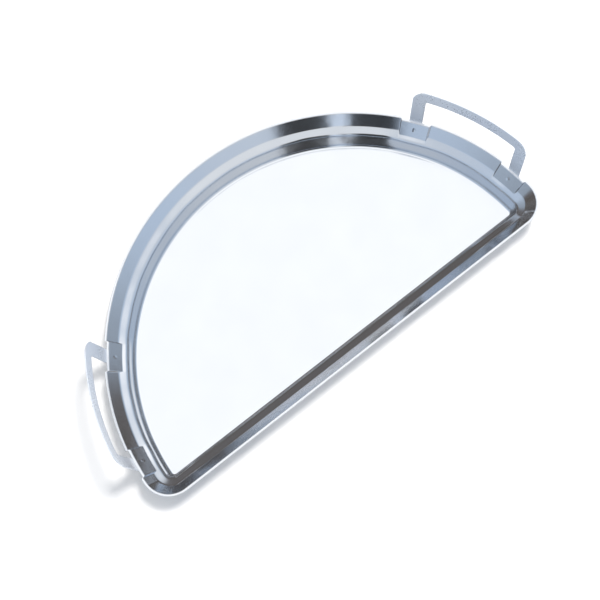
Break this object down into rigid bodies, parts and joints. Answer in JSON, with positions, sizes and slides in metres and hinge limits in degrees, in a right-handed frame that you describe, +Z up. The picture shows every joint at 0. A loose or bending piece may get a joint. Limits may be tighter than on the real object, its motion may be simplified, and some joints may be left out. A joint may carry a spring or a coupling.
{
  "type": "pill counting tray",
  "caption": "Half-round pressed steel tray with a stepped rim and two fixed strap handles, for holding and carrying loose goods.",
  "frame": {"origin": "middle of the overall plan outline, on the plane of the flat underside", "axes": "+X along the straight side, +Y from the straight side towards the curved side, +Z up out of the tray"},
  "size_m": [0.4902, 0.2619, 0.0825],
  "materials": {
    "pan": "polished",
    "handles": "polished",
    "welds": "satin"
  },
  "bodies": {
    "root": {"tray_pan": "pan", "left_handle": "handles", "right_handle": "handles", "left_handle_welds": "welds", "right_handle_welds": "welds"}
  },
  "joints": []
}
